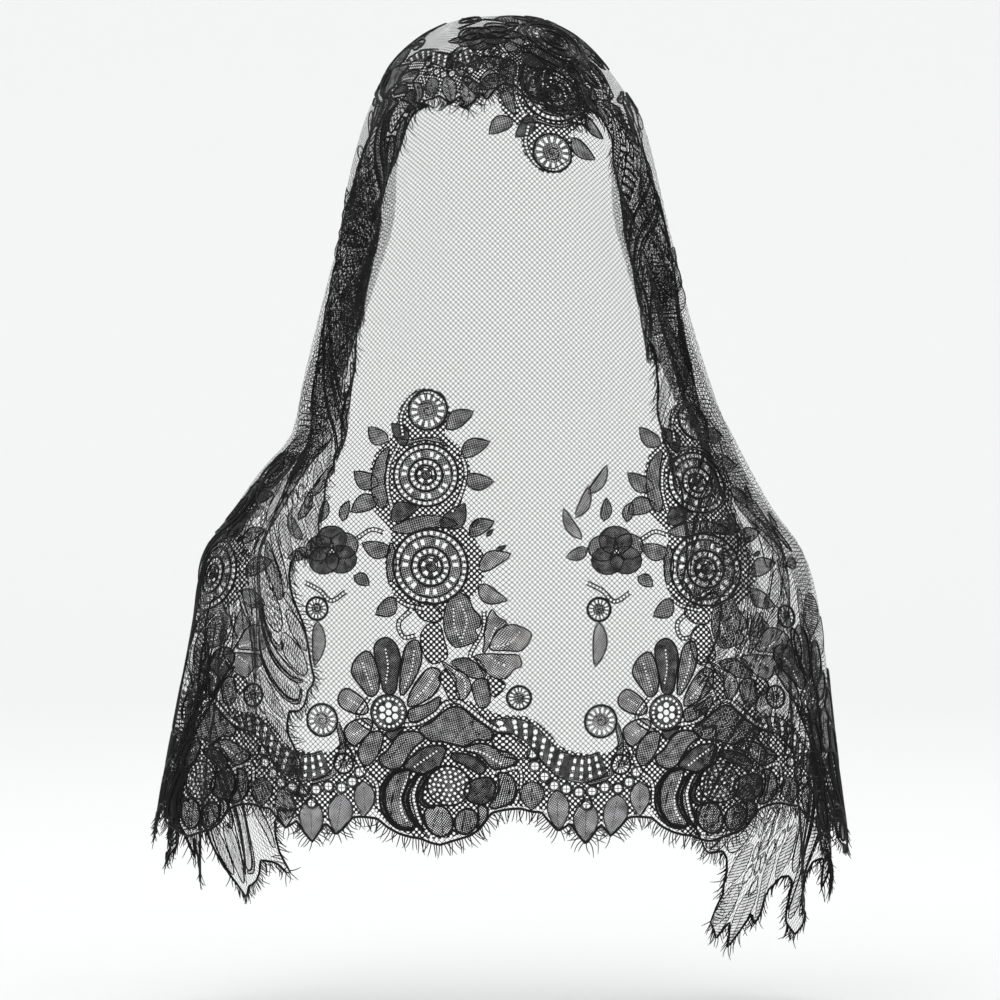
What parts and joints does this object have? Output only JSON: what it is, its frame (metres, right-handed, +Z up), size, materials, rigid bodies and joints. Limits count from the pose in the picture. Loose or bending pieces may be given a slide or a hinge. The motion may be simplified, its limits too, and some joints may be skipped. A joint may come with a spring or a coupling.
{
  "type": "lace veil",
  "caption": "Half-round black lace veil, worn over the head, with pierced scalloped borders and an eyelash fringe.",
  "frame": {"origin": "the inside of the crown, where the veil sits on the head", "axes": "+Z up, +Y towards the face opening, -Y towards the back of the veil, +X to the right seen from behind"},
  "size_m": [0.4681, 0.256, 0.6465],
  "materials": {
    "net": "fine black nylon net",
    "lace": "woven black lace with raised outline cords",
    "thread": "cut black thread ends"
  },
  "bodies": {
    "root": {"net_ground": "net", "hem_lace_border": "lace", "face_lace_border": "lace", "hem_eyelash_fringe": "thread", "face_eyelash_fringe": "thread"}
  },
  "joints": []
}
